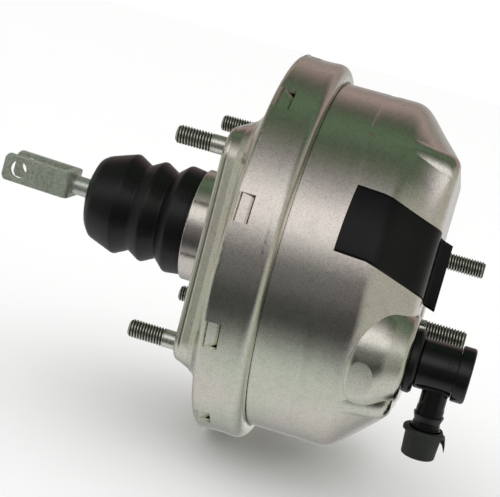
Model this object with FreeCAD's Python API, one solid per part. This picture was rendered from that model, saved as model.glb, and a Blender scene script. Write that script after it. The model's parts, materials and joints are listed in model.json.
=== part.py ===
import FreeCAD, Part
import math
import os

from FreeCAD import Vector

# Vacuum brake booster. Millimetres.
# X runs forward along the axis to the brake cylinder, Z is up.
# The origin is the centre of the rear mounting face.

# Sheet metal

sheet = 1.5                  # wall of both pressed shells
plate_sheet = 2.5            # reinforcement plates behind the studs
shell_r = 78.5               # outer radius of the drum

# Rear shell

plateau_half = 52.0          # half width of the square mounting plateau
plateau_corner = 13.0        # corner radius of the plateau
plateau_edge = 3.0           # rounding between its face and its sides
plateau_height = 3.7         # where its sides start to lean out
dish_depth = 14.2            # from mounting face to the start of the rim
rim_r = shell_r + 7.6        # outer radius of the rolled rim
dish_r = rim_r - 6.5         # radius where the dished wall meets the rim
rim_waist = 0.6              # hollow of the band between its two edges
rim_rear_x = 15.2
rim_rear_bend = 2.4          # outer rounding of the rim's rear corner
rim_front_x = 36.8
rim_lip_r = shell_r + 0.9    # inner radius of the lip rolled over the front shell
neck_r = 25.6                # outer radius of the collar round the valve body
neck_length = 12.7
neck_fillet = 2.0

# Lances pressed into the band of the rim

lance_count = 10
lance_x = 16.8
lance_length = 6.5
lance_width_angle = 8.0
lance_depth = 3.0
lance_ridge = 0.4            # metal squeezed up at the root of a lance

# Front shell

front_face_x = 95.4
crease_x = 73.0              # where the four sloping facets start
crease_rounding = 12.0
facet_lead = 17.0            # straight drum wall drawn in one with the facets
face_half = shell_r - 23.0   # half width of the front face
face_corner = 10.9           # corner radius of the front face
face_edge = 5.0              # rounding between the facets and the face
skirt_length = 5.0           # of the flange held in the rear shell's rim
rim_bend = 5.0               # outer rounding of the rim where it rolls over
facet_angle = 42.5           # half angle of a facet on the round wall
facet_turn = 10.7            # turn of the facets about the axis
facet_drop = 3.9             # how far the corners fall in from the round wall
cup_r = 20.5                 # pilot bore for the brake cylinder
cup_depth = 9.0
pocket_r = 15.5              # seat of the front seal, behind the pilot bore
pocket_depth = 8.9
cup_hole_r = 9.0
cup_mouth = 1.0

# Boss for the vacuum connection

boss_y = -50.5
boss_z = -19.8
boss_pad_r = 17.9
boss_base_r = 25.2
boss_rise = 1.6              # pad in front of the front face
boss_length = 25.0
boss_taper = 12.0            # length of its narrowing front end
boss_swell = 16.0            # rounding where it starts to narrow
boss_rear_rounding = 7.0
boss_edge = 4.0

# Studs, all with the same M8 thread

stud_r = 4.0
stud_hole_clearance = 0.3
stud_tip = 1.0               # chamfer at the end of the thread
stud_shoulder = 0.25         # of the plain stretch in the sheet, over the thread's radius
stud_head_r = 4.9
stud_head_height = 2.4
rear_stud_y = 44.0
rear_stud_z = 43.0
rear_stud_length = 21.2      # beyond the mounting face
front_stud_pitch = 60.2      # distance between the two front studs
front_stud_angle = 21.4      # their line from the horizontal
front_stud_length = 21.2     # beyond the front face
front_plate_r = 36.6
rear_plate_half = 48.0
rear_plate_corner = 12.0
rear_plate_bore_r = 27.0

# Power piston

tube_r = 16.5                # outside of the valve body's sliding tube
tube_rear_x = -46.0
tube_bore_r = 12.5
hub_r = 17.0
flange_r = 23.2
flange_x = 11.4
flange_thickness = 2.2
bead_height = 3.6            # seat of the diaphragm's inner bead
bead_seat_r = 18.5
hub_front_x = 25.0
nose_r = 14.0
nose_front_x = 37.0
plunger_r = 6.8
valve_seat_x = -9.5
seat_ring_r = 10.6
seat_ring_height = 1.0
passage_width = 5.0
passage_depth = 3.8
disc_sheet = 1.5             # diaphragm plate
disc_r = shell_r - 11.0
disc_rim_height = 4.6
disc_rounding = 3.0
spring_seat_step = 1.2

# Reaction disc and output pushrod

reaction_r = 11.0
reaction_thickness = 6.0
output_head = 3.8
output_r = 4.5
output_end_x = 82.0
adjuster_r = 3.0
adjuster_head_r = 4.4
adjuster_grip = 9.0
adjuster_tip_x = 86.2

# Diaphragm

rubber = 1.4                 # wall of the diaphragm
roll_gap = 1.0               # between the plate's rim and the rolling wall
diaphragm_bead = 8.6

# Valve plunger, input pushrod and clevis

ball_x = -6.0
ball_r = 4.4
plunger_rear_x = -11.0
plunger_front_x = 22.6
plunger_groove_r = 3.6
plunger_travel = 1.5
air_seat_r = 8.2
key_thickness = 2.4
key_width = 8.0
key_reach = 2.4              # beyond the valve body's tube
rod_r = 4.4
rod_neck_r = 3.0
rod_neck_length = 12.0
rod_tilt = 1.8               # degrees, rear end raised
rod_swing = 3.0              # degrees each way about the booster's axis
rod_collar_r = 8.0
rod_collar_x = -34.0
rod_collar_thickness = 1.5
clevis_rear_x = -104.7
clevis_front_x = -69.0
clevis_gap = 12.4
clevis_ear = 3.0
clevis_height = 12.5
clevis_web = 4.0
clevis_chamfer = 1.5
clevis_pin_x = -97.5
clevis_pin_r = 4.0

# Poppet valve and filters inside the valve body

poppet_thickness = 1.7
poppet_tube_length = 8.0
poppet_wall = 1.0
poppet_bead = 3.0
poppet_hole_r = 5.9
retainer_sheet = 1.0
retainer_sleeve = 5.0
silencer_length = 4.0
filter_length = 6.0
filter_bore_r = 7.8

# Seals and bushing round the valve body

seal_length = 7.5
seal_lip_length = 2.0
bushing_length = 3.2
retainer_plate = 0.8
retainer_r = 26.5
front_seal_length = 4.0

# Rubber boot

boot_wall = 1.6
boot_rear_x = -64.4
boot_rear_r = 6.2
boot_shoulder_x = -58.6
boot_shoulder_r = 19.0
boot_lobe_r = 23.2
boot_valley_r = 20.4
boot_collar_r = 24.8
boot_lobe_pitch = 13.0
boot_first_lobe_x = -46.2
boot_end_x = -11.6

# Springs

return_wire_r = 1.5
return_rear_r = 22.0
return_front_r = 38.5
return_turns = 6.0
poppet_wire_r = 0.4
poppet_spring_r = 8.4
poppet_spring_turns = 4.0
input_wire_r = 0.5
input_spring_r = 6.5
input_spring_turns = 3.0
check_wire_r = 0.35
check_spring_r = 4.3
check_spring_turns = 5.0

# Check valve and its grommet

grommet_flange_r = 13.5
grommet_flange = 3.9
grommet_inner_flange = 3.0
grommet_hole_r = 11.3
valve_neck_r = 8.0
valve_neck_wall = 1.8
valve_barb = 0.9
valve_head_r = 10.5
valve_head_length = 15.6
valve_wall = 2.2
valve_end_r = 11.7
valve_end_thickness = 5.9
valve_end_plug = 2.5
check_seat_r = 4.5
check_disc_r = 6.4
check_disc_thickness = 2.0
nozzle_x = 110.6
nozzle_r = 5.5
nozzle_bore_r = 3.4
nozzle_tip_z = -54.0
nozzle_barb = 0.8
nozzle_barb_length = 3.0
nozzle_barb_pitch = 5.2
nozzle_first_barb_z = -39.6
cap_rim_z = -45.6
cap_rim_r = 8.9
cap_rim_height = 2.0
cap_r = 7.6
cap_end_r = 7.0
cap_bottom_z = -58.0
cap_rounding = 2.0

# Clearances

running = 0.08               # radial, where one piece slides or turns in another
soft_gap = 0.3               # between a soft piece and what moves past it
seat_gap = 0.1               # between pieces that rest on each other
hole_gap = 0.3               # holes that pieces only pass through

origin = Vector(0, 0, 0)
axis_x = Vector(1, 0, 0)
axis_y = Vector(0, 1, 0)
axis_z = Vector(0, 0, 1)


# Outlines

def outline(points):
    """Closed wire in the XZ plane from (x, r) or (x, r, rounding) corners."""
    corners = []
    for point in points:
        rounding = point[2] if len(point) > 2 else 0.0
        corners.append((Vector(point[0], 0, point[1]), rounding))
    starts, ends, middles = [], [], []
    for index, (corner, rounding) in enumerate(corners):
        before = corners[index - 1][0]
        after = corners[(index + 1) % len(corners)][0]
        into = (before - corner).normalize()
        out = (after - corner).normalize()
        if rounding == 0.0:
            starts.append(corner)
            ends.append(corner)
            middles.append(None)
            continue
        half = into.getAngle(out) / 2
        tangent = rounding / math.tan(half)
        bisector = (into + out).normalize()
        centre = corner + bisector * (rounding / math.sin(half))
        starts.append(corner + into * tangent)
        ends.append(corner + out * tangent)
        middles.append(centre - bisector * rounding)
    edges = []
    for index in range(len(corners)):
        if middles[index] is not None:
            edges.append(Part.Arc(starts[index], middles[index], ends[index]).toShape())
        following = starts[(index + 1) % len(corners)]
        if (following - ends[index]).Length > 1e-6:
            edges.append(Part.LineSegment(ends[index], following).toShape())
    return Part.Wire(edges)


def turned(points, angle=360.0):
    """Solid of revolution about X from corners in x and radius."""
    return Part.Face(outline(points)).revolve(origin, axis_x, angle)


def ring(x_start, x_end, r_inner, r_outer):
    return turned([(x_start, r_inner), (x_end, r_inner), (x_end, r_outer), (x_start, r_outer)])


def rod_along_x(x_start, x_end, radius, y=0.0, z=0.0):
    return Part.makeCylinder(radius, x_end - x_start, Vector(x_start, y, z), axis_x)


def rod_along_y(y_start, y_end, radius, x, z=0.0):
    return Part.makeCylinder(radius, y_end - y_start, Vector(x, y_start, z), axis_y)


def fused(shapes):
    return shapes[0].multiFuse(shapes[1:]).removeSplitter()


def inset(points, depth):
    """Moves an open outline to its inner side, along the mean normal of its runs."""
    moved = []
    for index, (x, r) in enumerate(points):
        before = points[max(index - 1, 0)]
        after = points[min(index + 1, len(points) - 1)]
        run_x, run_r = after[0] - before[0], after[1] - before[1]
        length = math.hypot(run_x, run_r)
        moved.append((x + depth * run_r / length, r - depth * run_x / length))
    return moved


def section(x, side, middle, end, corner):
    """Closed section across X: four sides and four corners.

    side and end place the ends of each side, middle is the side's height at
    its centre and corner the distance of a corner's middle from the axis.
    """
    edges = []
    diagonal = corner / math.sqrt(2)
    for quarter in range(4):
        turn = math.radians(90 * quarter)
        cosine, sine = math.cos(turn), math.sin(turn)

        def place(across, along):
            return Vector(x, across * cosine - along * sine, across * sine + along * cosine)

        if abs(middle - side) < 1e-4:
            edges.append(Part.LineSegment(place(side, -end), place(side, end)).toShape())
        else:
            edges.append(Part.Arc(place(side, -end), place(middle, 0), place(side, end)).toShape())
        edges.append(Part.Arc(place(side, end), place(diagonal, diagonal), place(end, side)).toShape())
    return Part.Wire(edges)


def square_section(x, half, corner):
    straight = half - corner
    return section(x, half, half, straight, straight * math.sqrt(2) + corner)


def round_section(x, radius, angle):
    turn = math.radians(angle)
    return section(x, radius * math.cos(turn), radius, radius * math.sin(turn), radius)


def coil(x_start, x_end, r_start, r_end, turns, wire_r):
    """Open coil spring between two end planes, straight or conical."""
    height = x_end - x_start
    cone = math.degrees(math.atan2(r_end - r_start, height))
    path = Part.makeHelix(height / turns, height, r_start, cone)
    start = path.Edges[0].valueAt(path.Edges[0].FirstParameter)
    tangent = path.Edges[0].tangentAt(path.Edges[0].FirstParameter)
    wire = Part.Wire(Part.makeCircle(wire_r, start, tangent))
    spring = Part.Wire(path).makePipeShell([wire], True, True)
    spring.rotate(origin, axis_y, 90)
    spring.translate(Vector(x_start, 0, 0))
    return spring


# Rear shell

rear_inner_x = sheet
shoulder_run = dish_depth - plateau_height

# Stations of the wall between plateau and rim: share of its depth, share of
# its width, and how far its corners have gone from square to round.
shoulder_shares = [(0.00, 0.02, 0.03), (0.31, 0.08, 0.09), (0.59, 0.165, 0.16), (0.75, 0.275, 0.27),
                   (0.86, 0.42, 0.42), (0.945, 0.725, 0.75), (1.00, 1.00, 1.00)]


def rear_form(depth):
    """Solid filled by the rear pressing, its surface moved in by depth."""
    edge = plateau_edge - depth
    flat = plateau_half - plateau_edge
    sections = []
    for angle in (90, 60, 35, 15, 0):
        swing = edge * math.cos(math.radians(angle))
        sections.append(square_section(plateau_edge - edge * math.sin(math.radians(angle)),
                                       flat + swing, plateau_corner - plateau_edge + swing))
    reach = dish_r - plateau_half
    shoulder = [(plateau_height + along * shoulder_run, plateau_half + out * reach)
                for along, out, _ in shoulder_shares]
    moved = inset(shoulder, depth)
    square = plateau_corner / plateau_half
    for (x, half), (_, _, rounder) in zip(moved[:-1], shoulder_shares):
        sections.append(square_section(x, half, half * (square + rounder * (1 - square))))
    end_x, end_r = moved[-1]
    sections.append(round_section(end_x, end_r, 6.0))
    pan = Part.makeLoft(sections, True, True)
    wall = rim_r - depth
    front_x = rim_front_x - depth
    waist_x = (rim_rear_x + rim_front_x) / 2
    band = [
        (end_x, 0), (end_x, end_r),
        (rim_rear_x + depth * 0.87, wall, rim_rear_bend - depth * 0.7),
        (waist_x, wall - rim_waist, 30.0),
        (front_x, wall, rim_bend - depth),
        (front_x, rim_lip_r + 0.1),
        (front_x, 0),
    ]
    return pan, turned(band)


def rear_shell():
    pan, band = rear_form(0.0)
    pan_inside, band_inside = rear_form(sheet)
    neck = turned([(-neck_length, 0), (-neck_length, neck_r, 0.6), (plateau_edge, neck_r),
                   (plateau_edge, 0)])
    body = fused([pan, band, neck])
    mouth = rod_along_x(rim_front_x - sheet - 1.0, rim_front_x + 1.0, rim_lip_r)
    bore = turned([(-neck_length - 1.0, 0), (-neck_length - 1.0, neck_r - sheet),
                   (rear_inner_x - neck_fillet / 2, neck_r - sheet),
                   (rear_inner_x + 0.5, neck_r - sheet + neck_fillet * 0.75),
                   (rear_inner_x + 0.5, 0)])
    body = body.cut(fused([pan_inside, band_inside]))
    body = body.cut(mouth).cut(bore)
    body = body.cut(rear_stud_holes(-1.0, plateau_edge + 1.0))
    recess, tab = lance()
    step = 360.0 / lance_count
    for index in range(lance_count):
        angle = 90.0 + index * step
        body = body.cut(placed_lance(recess, angle))
        body = body.fuse(placed_lance(tab, angle))
    return body


def lance():
    """Recess and inward tab of one lance, at the top of the rim."""
    end_x = lance_x + lance_length
    outer = rim_r - rim_waist / 2
    inner = outer - sheet
    recess = turned([(lance_x, outer), (lance_x, rim_r + 2), (end_x, rim_r + 2),
                     (end_x, outer - lance_depth)], lance_width_angle)
    tab = turned([(lance_x - 1.2, inner + 0.2), (end_x, inner - lance_depth),
                  (end_x, outer - lance_depth), (lance_x + 1.2, outer - 0.4),
                  (lance_x + 0.5, rim_r + lance_ridge, 0.3), (lance_x - 0.8, outer - 0.2)],
                 lance_width_angle)
    return recess, tab


def placed_lance(shape, angle):
    copy = shape.copy()
    copy.rotate(origin, axis_x, angle - 90.0 - lance_width_angle / 2)
    return copy


def rear_stud_places():
    places = []
    for y in (-rear_stud_y, rear_stud_y):
        for z in (-rear_stud_z, rear_stud_z):
            places.append((y, z))
    return places


def rear_stud_holes(x_start, x_end):
    radius = stud_r + stud_hole_clearance
    return Part.makeCompound([rod_along_x(x_start, x_end, radius, y, z)
                              for y, z in rear_stud_places()])


def rear_reinforcement_plate():
    start = rear_inner_x
    outline_wire = square_section(start, rear_plate_half, rear_plate_corner)
    plate = Part.Face(outline_wire).extrude(Vector(plate_sheet, 0, 0))
    plate = plate.cut(rod_along_x(start - 1, start + plate_sheet + 1, rear_plate_bore_r))
    return plate.cut(rear_stud_holes(start - 1, start + plate_sheet + 1))


def stud(x_seat, x_face, x_tip, y, z):
    """Press-in stud: round head, plain shoulder in the sheet, shank and chamfered tip."""
    way = 1.0 if x_tip > x_seat else -1.0
    shoulder_r = stud_r + stud_shoulder
    shoulder_x = x_face - way * seat_gap / 2
    shank = turned([(x_seat, 0), (x_seat - way * stud_head_height, 0),
                    (x_seat - way * stud_head_height, stud_head_r, 0.5),
                    (x_seat, stud_head_r), (x_seat, shoulder_r), (shoulder_x, shoulder_r),
                    (shoulder_x, stud_r),
                    (x_tip - way * stud_tip, stud_r), (x_tip, stud_r - stud_tip), (x_tip, 0)])
    shank.translate(Vector(0, y, z))
    return shank


def rear_studs():
    seat = rear_inner_x + plate_sheet
    return Part.makeCompound([stud(seat, 0.0, -rear_stud_length, y, z)
                              for y, z in rear_stud_places()])


# Front shell

facet_slope = (shell_r - face_half) / (front_face_x - crease_x)


def facet_height(x, depth):
    """Height of a facet's middle over the axis, with the rounded crease."""
    wall = shell_r - depth
    fall = math.atan(facet_slope)
    shift = depth * math.tan(fall / 2)
    bend_x = crease_x - shift
    rounding = crease_rounding - depth
    tangent = rounding * math.tan(fall / 2)
    if x <= bend_x - tangent:
        return wall
    if x >= bend_x + tangent * math.cos(fall):
        return wall - facet_slope * (x - bend_x)
    return wall - rounding + math.sqrt(rounding ** 2 - (x - bend_x + tangent) ** 2)


def front_section(x, depth):
    wall = shell_r - depth
    face_x = front_face_x - depth
    edge = face_edge - depth * 0.6
    turn = math.radians(facet_angle)
    share = max(0.0, (x - crease_x) / (front_face_x - crease_x))
    rounded = max(0.0, x - (face_x - edge))
    fall = edge - math.sqrt(max(0.0, edge ** 2 - rounded ** 2))
    face_end = face_half - face_corner
    side = wall * math.cos(turn) + share * (face_half - shell_r * math.cos(turn))
    end = wall * math.sin(turn) + share * (face_end - shell_r * math.sin(turn))
    corner = wall - share * facet_drop
    middle = facet_height(x, depth)
    side = min(side, middle)
    return section(x, side - fall, middle - fall, end - fall * 0.5, corner - fall)


def front_form(depth):
    """Solid filled by the front pressing's square front, moved in by depth."""
    face_x = front_face_x - depth
    edge = face_edge - depth * 0.6
    start = crease_x - facet_lead
    stations = [start + facet_lead * share for share in (0.0, 0.25, 0.5, 0.7, 0.85, 1.0)]
    stations.append(crease_x + crease_rounding * 0.3)
    run = face_x - edge - stations[-1]
    stations += [stations[-1] + run * 0.4, stations[-1] + run * 0.75]
    for angle in (0, 25, 50, 70, 90):
        stations.append(face_x - edge + edge * math.sin(math.radians(angle)))
    wires = [front_section(x, depth) for x in stations]
    front = Part.makeLoft(wires, True, False)
    front.rotate(origin, axis_x, -facet_turn)
    return front, start


def boss_form(depth):
    pad_x = front_face_x + boss_rise - depth
    start = front_face_x + boss_rise - boss_length + depth
    boss = turned([(start, 0), (start, boss_base_r - depth, boss_rear_rounding - depth),
                   (pad_x - boss_taper, boss_base_r - depth, boss_swell),
                   (pad_x, boss_pad_r - depth, boss_edge - depth), (pad_x, 0)])
    boss.translate(Vector(0, boss_y, boss_z))
    limit = rod_along_x(start - 1, pad_x + 1, shell_r - depth)
    return boss.common(limit)


flange_front_x = rim_front_x - sheet - seat_gap
flange_rear_x = flange_front_x - sheet
shell_flange_r = rim_r - sheet - rim_waist - seat_gap
cup_floor_x = front_face_x - cup_depth
pocket_floor_x = cup_floor_x - pocket_depth


def front_shell():
    front, start = front_form(0.0)
    front_inside, start_inside = front_form(sheet)
    skirt_x = flange_front_x - skirt_length
    bend = rim_bend - sheet
    drum = turned([(flange_rear_x, 0), (flange_rear_x, shell_flange_r - sheet, bend - sheet),
                   (skirt_x, shell_flange_r - sheet), (skirt_x, shell_flange_r),
                   (flange_front_x, shell_flange_r, bend), (flange_front_x, shell_r, 1.2),
                   (start, shell_r), (start, 0)])
    drum_inside = turned([(flange_rear_x - 1, 0), (flange_rear_x - 1, shell_r - sheet),
                          (start_inside, shell_r - sheet), (start_inside, 0)])
    body = fused([drum, front, boss_form(0.0)])
    inside = fused([drum_inside, front_inside, boss_form(sheet)])
    body = body.cut(inside)
    cup = turned([(pocket_floor_x - sheet, 0), (pocket_floor_x - sheet, pocket_r + sheet),
                  (cup_floor_x - sheet, pocket_r + sheet), (cup_floor_x - sheet, cup_r + sheet),
                  (front_face_x - sheet / 2, cup_r + sheet), (front_face_x - sheet / 2, 0)])
    bore = turned([(pocket_floor_x, 0), (pocket_floor_x, pocket_r), (cup_floor_x, pocket_r),
                   (cup_floor_x, cup_r), (front_face_x - cup_mouth, cup_r),
                   (front_face_x, cup_r + cup_mouth), (front_face_x + 1, cup_r + cup_mouth),
                   (front_face_x + 1, 0)])
    hole = rod_along_x(pocket_floor_x - sheet - 1, pocket_floor_x + 1, cup_hole_r)
    body = body.fuse(cup).cut(bore).cut(hole)
    body = body.cut(front_stud_holes(front_face_x - sheet - 1, front_face_x + 1))
    grommet_hole = rod_along_x(front_face_x - sheet - 2, front_face_x + boss_rise + 1,
                               grommet_hole_r, boss_y, boss_z)
    return body.cut(grommet_hole)


def front_stud_places():
    turn = math.radians(front_stud_angle)
    half = front_stud_pitch / 2
    return [(half * math.cos(turn), half * math.sin(turn)),
            (-half * math.cos(turn), -half * math.sin(turn))]


def front_stud_holes(x_start, x_end):
    radius = stud_r + stud_hole_clearance
    return Part.makeCompound([rod_along_x(x_start, x_end, radius, y, z)
                              for y, z in front_stud_places()])


def front_reinforcement_plate():
    end = front_face_x - sheet
    start = end - plate_sheet
    plate = ring(start, end, cup_r + sheet + hole_gap, front_plate_r)
    return plate.cut(front_stud_holes(start - 1, end + 1))


def front_studs():
    seat = front_face_x - sheet - plate_sheet
    tip = front_face_x + front_stud_length
    return Part.makeCompound([stud(seat, front_face_x, tip, y, z)
                              for y, z in front_stud_places()])


# Power piston

bead_front_x = flange_x + flange_thickness + bead_height
disc_rear_x = bead_front_x
disc_front_x = disc_rear_x + disc_sheet
retainer_front_x = rear_inner_x + retainer_plate
key_rear_x = retainer_front_x + soft_gap
key_front_x = key_rear_x + key_thickness


def valve_body():
    body = turned([(tube_rear_x, 0), (tube_rear_x, tube_r, 1.0), (flange_x, tube_r),
                   (flange_x, flange_r, 0.6), (flange_x + flange_thickness, flange_r),
                   (flange_x + flange_thickness, bead_seat_r), (bead_front_x, bead_seat_r),
                   (bead_front_x, hub_r), (hub_front_x, hub_r, 1.0), (hub_front_x, nose_r),
                   (nose_front_x, nose_r, 0.8), (nose_front_x, 0)])
    rear_bore = turned([(tube_rear_x - 1, 0), (tube_rear_x - 1, tube_bore_r),
                        (valve_seat_x, tube_bore_r), (valve_seat_x, seat_ring_r),
                        (valve_seat_x - seat_ring_height, seat_ring_r),
                        (valve_seat_x - seat_ring_height, seat_ring_r - 1.2),
                        (valve_seat_x, seat_ring_r - 1.2), (valve_seat_x, 0)])
    recess_x = valve_seat_x + plunger_travel + soft_gap
    plunger_bore = turned([(valve_seat_x - 2, 0), (valve_seat_x - 2, air_seat_r + running),
                           (recess_x, air_seat_r + running), (recess_x, plunger_r + running),
                           (hub_front_x + 1, plunger_r + running), (hub_front_x + 1, 0)])
    front_bore = rod_along_x(hub_front_x, nose_front_x + 1, reaction_r + running)
    body = body.cut(rear_bore).cut(plunger_bore).cut(front_bore)
    slot_gap = soft_gap / 2
    slot = Part.makeBox(key_thickness + 2 * slot_gap, key_width + 2 * slot_gap, 2 * tube_r + 2,
                        Vector(key_rear_x - slot_gap, -key_width / 2 - slot_gap, -tube_r - 1))
    body = body.cut(slot)
    for side in (-1, 1):
        passage = Part.makeBox(hub_front_x - valve_seat_x + 1, passage_depth, passage_width,
                               Vector(valve_seat_x - 1, tube_bore_r - 0.6, -passage_width / 2))
        passage = passage.common(rod_along_x(valve_seat_x - 2, hub_front_x + 2, hub_r - 1.6))
        if side < 0:
            passage.rotate(origin, axis_x, 180)
        body = body.cut(passage)
    return body


def diaphragm_plate():
    inner = hub_r + running
    step_r = return_rear_r - return_wire_r - 1.0
    front = disc_front_x + disc_rim_height - disc_sheet
    return turned([
        (disc_rear_x, inner), (disc_rear_x, disc_r, disc_rounding), (front, disc_r, 0.4),
        (front, disc_r - disc_sheet, 0.4), (disc_front_x, disc_r - disc_sheet, disc_rounding / 2),
        (disc_front_x, step_r), (disc_front_x + spring_seat_step, step_r - 0.4),
        (disc_front_x + spring_seat_step, inner)])


def diaphragm():
    """Rubber web over the plate's rear, rolling wall and clamped outer bead."""
    bead_rear = flange_x + flange_thickness + seat_gap
    web_front = disc_rear_x - seat_gap
    web_rear = web_front - rubber
    inner_r = bead_seat_r + seat_gap
    roll_r = disc_r + roll_gap
    bead_front = flange_rear_x - seat_gap
    bead_back = bead_front - diaphragm_bead
    bead_r = shell_flange_r - sheet - seat_gap
    bead_low = shell_r - sheet + seat_gap
    bend = rim_bend - 2 * sheet
    rim_x = disc_front_x + disc_rim_height
    return turned([
        (bead_rear, inner_r), (bead_rear, flange_r, 0.8), (web_rear, flange_r),
        (web_rear, roll_r + rubber, 2.6), (rim_x - 2.6, roll_r + rubber, 2.4),
        (rim_x + 0.2, bead_low + rubber, 0.8), (bead_back, bead_low + rubber),
        (bead_back, bead_r, 0.8), (bead_front, bead_r, bend), (bead_front, bead_low, 0.8),
        (rim_x + 1.2, bead_low, 1.6), (rim_x - 1.8, roll_r, 1.6),
        (web_front, roll_r, 1.2), (web_front, inner_r)])


def reaction_disc():
    start = hub_front_x + seat_gap
    return turned([(start, 0), (start, reaction_r - seat_gap, 0.6),
                   (start + reaction_thickness, reaction_r - seat_gap, 0.6),
                   (start + reaction_thickness, 0)])


output_rear_x = hub_front_x + reaction_thickness + 2 * seat_gap


def output_pushrod():
    head_x = output_rear_x + output_head
    rod = turned([(output_rear_x, 0), (output_rear_x, reaction_r, 0.5), (head_x, reaction_r, 0.5),
                  (head_x, output_r + 1.5), (head_x + 1.5, output_r), (output_end_x, output_r, 0.5),
                  (output_end_x, 0)])
    return rod.cut(rod_along_x(output_end_x - adjuster_grip - 0.5, output_end_x + 1,
                               adjuster_r + running))


def adjuster_screw():
    shank = rod_along_x(output_end_x - adjuster_grip, output_end_x + 1, adjuster_r)
    head_x = output_end_x + seat_gap
    dome = adjuster_head_r * 0.93
    head = turned([(head_x, 0), (head_x, adjuster_head_r), (adjuster_tip_x - dome / 2, dome),
                   (adjuster_tip_x, dome / 2, 1.5), (adjuster_tip_x, 0)])
    corners = [Vector(head_x, 0, 0) + Vector(0, math.cos(math.radians(60 * k)),
                                             math.sin(math.radians(60 * k))) * adjuster_head_r
               for k in range(7)]
    hexagon = Part.Face(Part.makePolygon(corners)).extrude(Vector(adjuster_tip_x - head_x, 0, 0))
    return fused([shank, head.common(hexagon)])


# Return spring

def return_spring():
    start = disc_front_x + return_wire_r + seat_gap
    end = front_face_x - sheet - return_wire_r - seat_gap
    return coil(start, end, return_rear_r, return_front_r, return_turns, return_wire_r)


# Valve plunger, stop key and input rod

def valve_plunger():
    groove_rear = key_rear_x - plunger_travel - seat_gap
    groove_front = key_front_x + seat_gap
    body = turned([(plunger_rear_x, 0), (plunger_rear_x, air_seat_r, 0.3),
                   (valve_seat_x - 0.2, air_seat_r), (valve_seat_x - 0.2, plunger_r),
                   (groove_rear, plunger_r), (groove_rear, plunger_groove_r),
                   (groove_front, plunger_groove_r), (groove_front, plunger_r),
                   (plunger_front_x, plunger_r, 0.5), (plunger_front_x, 0)])
    socket = Part.makeSphere(ball_r + running, Vector(ball_x, 0, 0))
    swing = math.tan(math.radians(rod_swing + 2.0))
    depth = ball_x - plunger_rear_x
    mouth = Part.makeCone(rod_neck_r + soft_gap + (depth + 1) * swing, rod_neck_r + soft_gap,
                          depth + 1, Vector(plunger_rear_x - 1, 0, 0), axis_x)
    return body.cut(socket).cut(mouth)


def stop_key():
    reach = tube_r + key_reach
    plate = Part.makeBox(key_thickness, key_width, 2 * reach,
                         Vector(key_rear_x, -key_width / 2, -reach))
    width = 2 * (plunger_groove_r + seat_gap)
    notch = Part.makeBox(key_thickness + 2, width, 2 * plunger_groove_r + 4 * seat_gap,
                         Vector(key_rear_x - 1, -width / 2, -plunger_groove_r - 2 * seat_gap))
    return plate.cut(notch).cut(rod_along_x(key_rear_x - 1, key_front_x + 1,
                                            plunger_groove_r + seat_gap))


def tilted(shape):
    """Turns a piece of the input rod about its ball, rear end up."""
    shape.rotate(Vector(ball_x, 0, 0), axis_y, rod_tilt)
    return shape


def input_pushrod():
    neck_x = ball_x - rod_neck_length
    end_x = clevis_front_x - clevis_web
    shaft = turned([(ball_x, 0), (ball_x, rod_neck_r), (neck_x, rod_neck_r),
                    (neck_x - 2, rod_r), (rod_collar_x, rod_r), (rod_collar_x, 0)])
    rear = rod_along_x(end_x, rod_collar_x, rod_r)
    collar = ring(rod_collar_x, rod_collar_x + rod_collar_thickness, 0.0, rod_collar_r)
    ball = Part.makeSphere(ball_r, Vector(ball_x, 0, 0))
    return tilted(fused([ball, shaft, rear, collar]))


def clevis():
    half = clevis_gap / 2 + clevis_ear
    length = clevis_front_x - clevis_rear_x
    low = -clevis_height / 2
    block = Part.makeBox(length, 2 * half, clevis_height, Vector(clevis_rear_x, -half, low))
    gap = Part.makeBox(length - clevis_web + 1, clevis_gap, clevis_height + 2,
                       Vector(clevis_rear_x - 1, -clevis_gap / 2, low - 1))
    body = block.cut(gap)
    bends = [edge for edge in body.Edges
             if abs(abs(edge.BoundBox.Center.y) - half) < 0.01
             and abs(edge.BoundBox.Center.x - clevis_front_x) < 0.01
             and edge.BoundBox.ZLength > clevis_height - 0.1]
    body = body.makeFillet(clevis_ear - 0.4, bends)
    ends = [edge for edge in body.Edges
            if abs(edge.BoundBox.Center.x - clevis_rear_x) < 0.01
            and edge.BoundBox.YLength > clevis_ear - 0.1
            and edge.BoundBox.ZLength < 0.1]
    body = body.makeChamfer(clevis_chamfer, ends)
    pin = rod_along_y(-half - 1, half + 1, clevis_pin_r, clevis_pin_x)
    shank = rod_along_x(clevis_front_x - clevis_web - 1, clevis_front_x + 1, rod_r + running)
    return tilted(body.cut(pin).cut(shank))


# Poppet valve, filters

poppet_front_x = plunger_rear_x - soft_gap
poppet_rear_x = poppet_front_x - poppet_thickness
bead_rear_x = poppet_rear_x - poppet_tube_length - poppet_bead
retainer_rear_x = bead_rear_x - seat_gap - retainer_sheet


def poppet_valve():
    outer = tube_bore_r - seat_gap
    tube_outer = outer - 0.8
    tube_inner = tube_outer - poppet_wall
    return turned([(poppet_front_x, poppet_hole_r, 0.4), (poppet_front_x, tube_outer, 0.6),
                   (bead_rear_x + poppet_bead, tube_outer), (bead_rear_x + poppet_bead, outer),
                   (bead_rear_x, outer), (bead_rear_x, tube_inner),
                   (poppet_rear_x, tube_inner), (poppet_rear_x, poppet_hole_r, 0.4)])


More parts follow.
